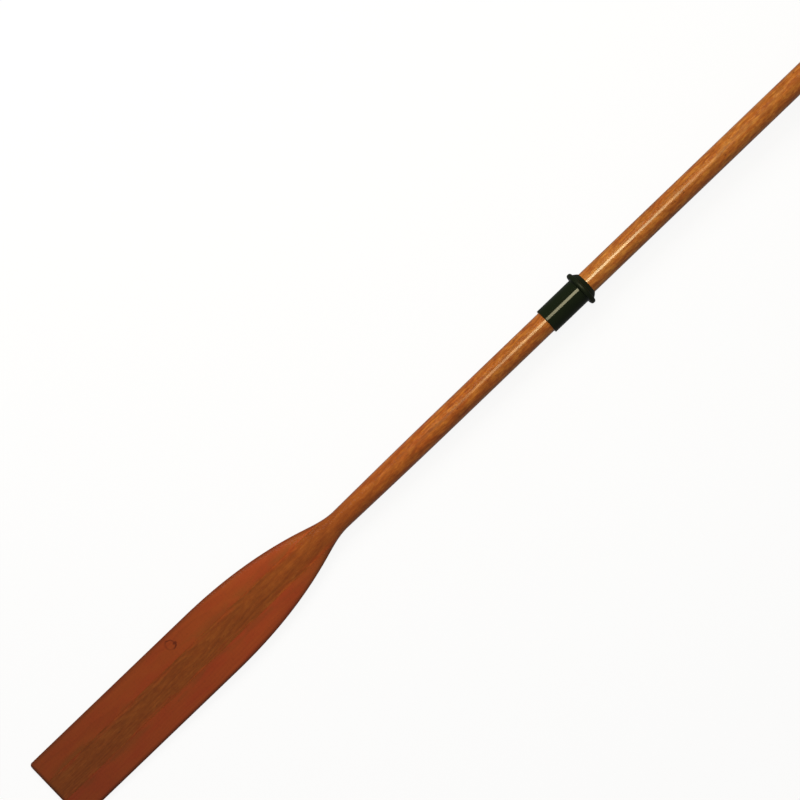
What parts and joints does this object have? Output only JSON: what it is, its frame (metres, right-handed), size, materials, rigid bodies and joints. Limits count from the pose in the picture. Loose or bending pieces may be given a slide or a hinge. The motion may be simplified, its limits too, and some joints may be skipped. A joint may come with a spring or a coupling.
{
  "type": "wooden rowing oar",
  "caption": "Varnished wooden oar with a flat spoonless blade of spine and two cheeks, a round loom, a turned grip and a black moulded collar that bears on the rowlock.",
  "frame": {"origin": "on the oar's axis, in the plane of the collar's flange face that bears on the rowlock", "axes": "+X along the oar towards the grip, +Y across the blade, +Z square to the flat blade"},
  "size_m": [2, 0.135, 0.068],
  "materials": {
    "loom_wood": "varnished",
    "cheek_wood": "varnished",
    "collar_plastic": "gloss"
  },
  "bodies": {
    "root": {"loom": "loom_wood", "left_cheek": "cheek_wood", "right_cheek": "cheek_wood", "collar": "collar_plastic"}
  },
  "joints": []
}
